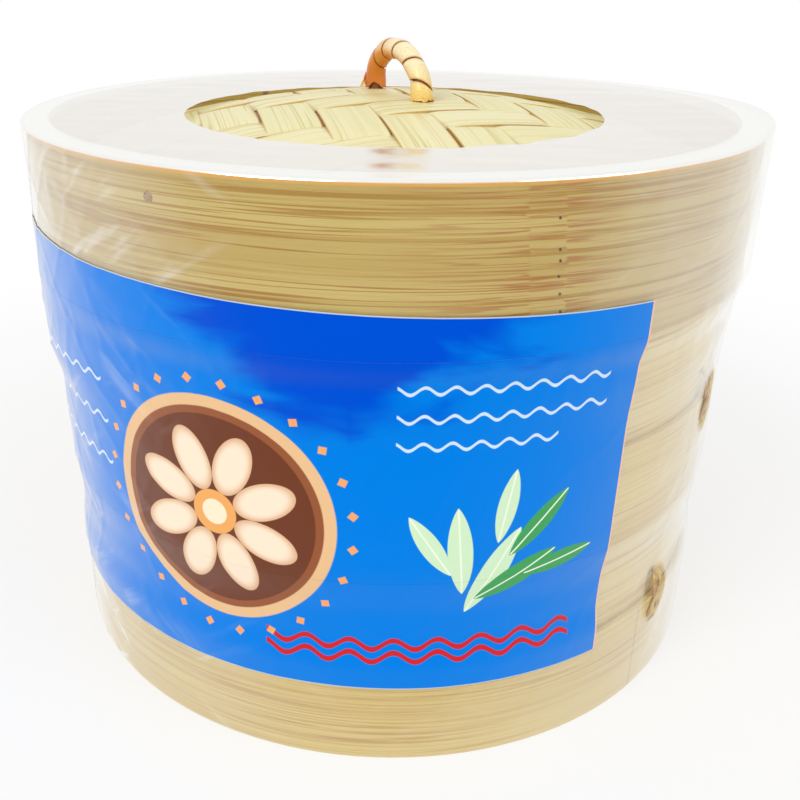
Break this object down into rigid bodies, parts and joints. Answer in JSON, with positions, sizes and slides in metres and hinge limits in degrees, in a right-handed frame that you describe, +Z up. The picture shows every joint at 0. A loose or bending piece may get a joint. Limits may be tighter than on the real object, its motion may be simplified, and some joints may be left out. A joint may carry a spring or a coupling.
{
  "type": "bamboo steamer",
  "caption": "Round two-tier bamboo steamer with slatted floors and a woven domed lid with a cane loop handle, in a clear wrap with a plain label.",
  "frame": {"origin": "centre of the underside of the lower tier's band, on the steamer's axis", "axes": "+Z up along the steamer's axis, -Y towards the label and the picture's camera, +X to the right in that view"},
  "size_m": [0.206, 0.2064, 0.1706],
  "materials": {
    "hoop_bamboo": "scraped and sanded bamboo strip, satin, grain round the hoop",
    "slat_bamboo": "planed bamboo, matte, grain along the slat",
    "woven_bamboo": "split bamboo strips in a twill weave, satin",
    "peg_bamboo": "round bamboo pegs, end grain showing",
    "cane": "peeled cane, slightly glossy",
    "film": "clear shrink film, glossy",
    "label": "coated printed paper, glossy"
  },
  "bodies": {
    "lower_tier": {"lower_wall_hoop": "hoop_bamboo", "lower_band": "hoop_bamboo", "lower_ledge_hoop": "hoop_bamboo", "lower_slat_01": "slat_bamboo", "lower_slat_02": "slat_bamboo", "lower_slat_03": "slat_bamboo", "lower_slat_04": "slat_bamboo", "lower_slat_05": "slat_bamboo", "lower_slat_06": "slat_bamboo", "lower_slat_07": "slat_bamboo", "lower_slat_08": "slat_bamboo", "lower_slat_09": "slat_bamboo", "lower_slat_10": "slat_bamboo", "lower_slat_11": "slat_bamboo", "lower_crossbar_left": "slat_bamboo", "lower_crossbar_right": "slat_bamboo", "lower_floor_pegs": "peg_bamboo", "lower_hoop_pegs": "peg_bamboo", "lower_cane_ties": "cane", "film_lower": "film", "label_lower": "label"},
    "upper_tier": {"upper_wall_hoop": "hoop_bamboo", "upper_band": "hoop_bamboo", "upper_ledge_hoop": "hoop_bamboo", "upper_slat_01": "slat_bamboo", "upper_slat_02": "slat_bamboo", "upper_slat_03": "slat_bamboo", "upper_slat_04": "slat_bamboo", "upper_slat_05": "slat_bamboo", "upper_slat_06": "slat_bamboo", "upper_slat_07": "slat_bamboo", "upper_slat_08": "slat_bamboo", "upper_slat_09": "slat_bamboo", "upper_slat_10": "slat_bamboo", "upper_slat_11": "slat_bamboo", "upper_crossbar_left": "slat_bamboo", "upper_crossbar_right": "slat_bamboo", "upper_floor_pegs": "peg_bamboo", "upper_hoop_pegs": "peg_bamboo", "upper_cane_ties": "cane", "film_upper": "film", "label_upper": "label"},
    "lid": {"lid_outer_hoop": "hoop_bamboo", "lid_upper_ring": "hoop_bamboo", "lid_lower_ring": "hoop_bamboo", "lid_woven_cover": "woven_bamboo", "lid_lining": "woven_bamboo", "lid_hoop_pegs": "peg_bamboo", "handle_cane": "cane", "handle_strip": "cane", "film_lid_top": "film", "film_lid_side": "film", "label_lid": "label"}
  },
  "joints": [
    {"name": "upper_tier_lift", "type": "slide", "parent": "lower_tier", "child": "upper_tier", "axis": [0, 0, 1], "range_m": [0, 0.1]},
    {"name": "lid_lift", "type": "slide", "parent": "upper_tier", "child": "lid", "axis": [0, 0, 1], "range_m": [0, 0.1]}
  ]
}
